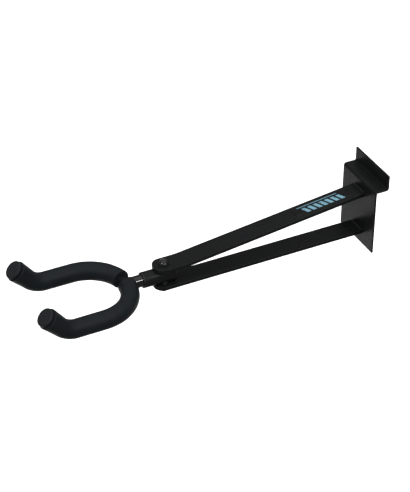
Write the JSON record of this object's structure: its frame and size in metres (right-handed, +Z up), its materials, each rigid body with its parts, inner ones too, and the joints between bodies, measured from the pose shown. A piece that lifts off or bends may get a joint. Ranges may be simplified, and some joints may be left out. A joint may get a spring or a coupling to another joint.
{
  "type": "wall guitar hanger",
  "caption": "Slatwall guitar hanger: folded hook plate, welded flat-bar arms, swivelling tube on a vertical bolt, turning U-shaped yoke in foam sleeves.",
  "frame": {"origin": "centre of the plate's wall face, which rests on the slat", "axes": "+Y into the wall, +Z up, +X to the right as seen from the room; the yoke reaches out along -Y"},
  "size_m": [0.102, 0.3749, 0.0874],
  "materials": {
    "powder_coat": "satin black powder coat",
    "gloss_black_metal": "gloss black",
    "bare_steel": "zinc plated",
    "black_nylon": "matt moulded nylon",
    "foam": "matt closed-cell foam",
    "end_cap_rubber": "matt moulded rubber",
    "label_film": "printed film"
  },
  "bodies": {
    "bracket": {"slatwall_plate": "powder_coat", "upper_arm": "powder_coat", "lower_arm": "powder_coat", "upper_arm_welds": "powder_coat", "lower_arm_welds": "powder_coat", "label": "label_film", "pivot_bolt": "gloss_black_metal", "pivot_nut": "gloss_black_metal", "nut_washer": "gloss_black_metal", "pivot_sleeve": "bare_steel"},
    "swivel": {"swivel_tube": "powder_coat", "stem_bush": "black_nylon", "tube_cap": "black_nylon"},
    "yoke": {"yoke_stem": "gloss_black_metal", "stem_clip": "bare_steel", "yoke_rod": "powder_coat", "yoke_weld": "powder_coat", "left_foam": "foam", "right_foam": "foam", "left_end_cap": "end_cap_rubber", "right_end_cap": "end_cap_rubber"}
  },
  "joints": [
    {"name": "swivel_swing", "type": "hinge", "parent": "bracket", "child": "swivel", "pos_m": [0, -0.217, -0.01265], "axis": [0, 0, 1], "range_deg": [-120, 120]},
    {"name": "yoke_turn", "type": "hinge", "parent": "swivel", "child": "yoke", "pos_m": [0, -0.232, -0.01265], "axis": [0, -1, 0], "continuous": true}
  ]
}
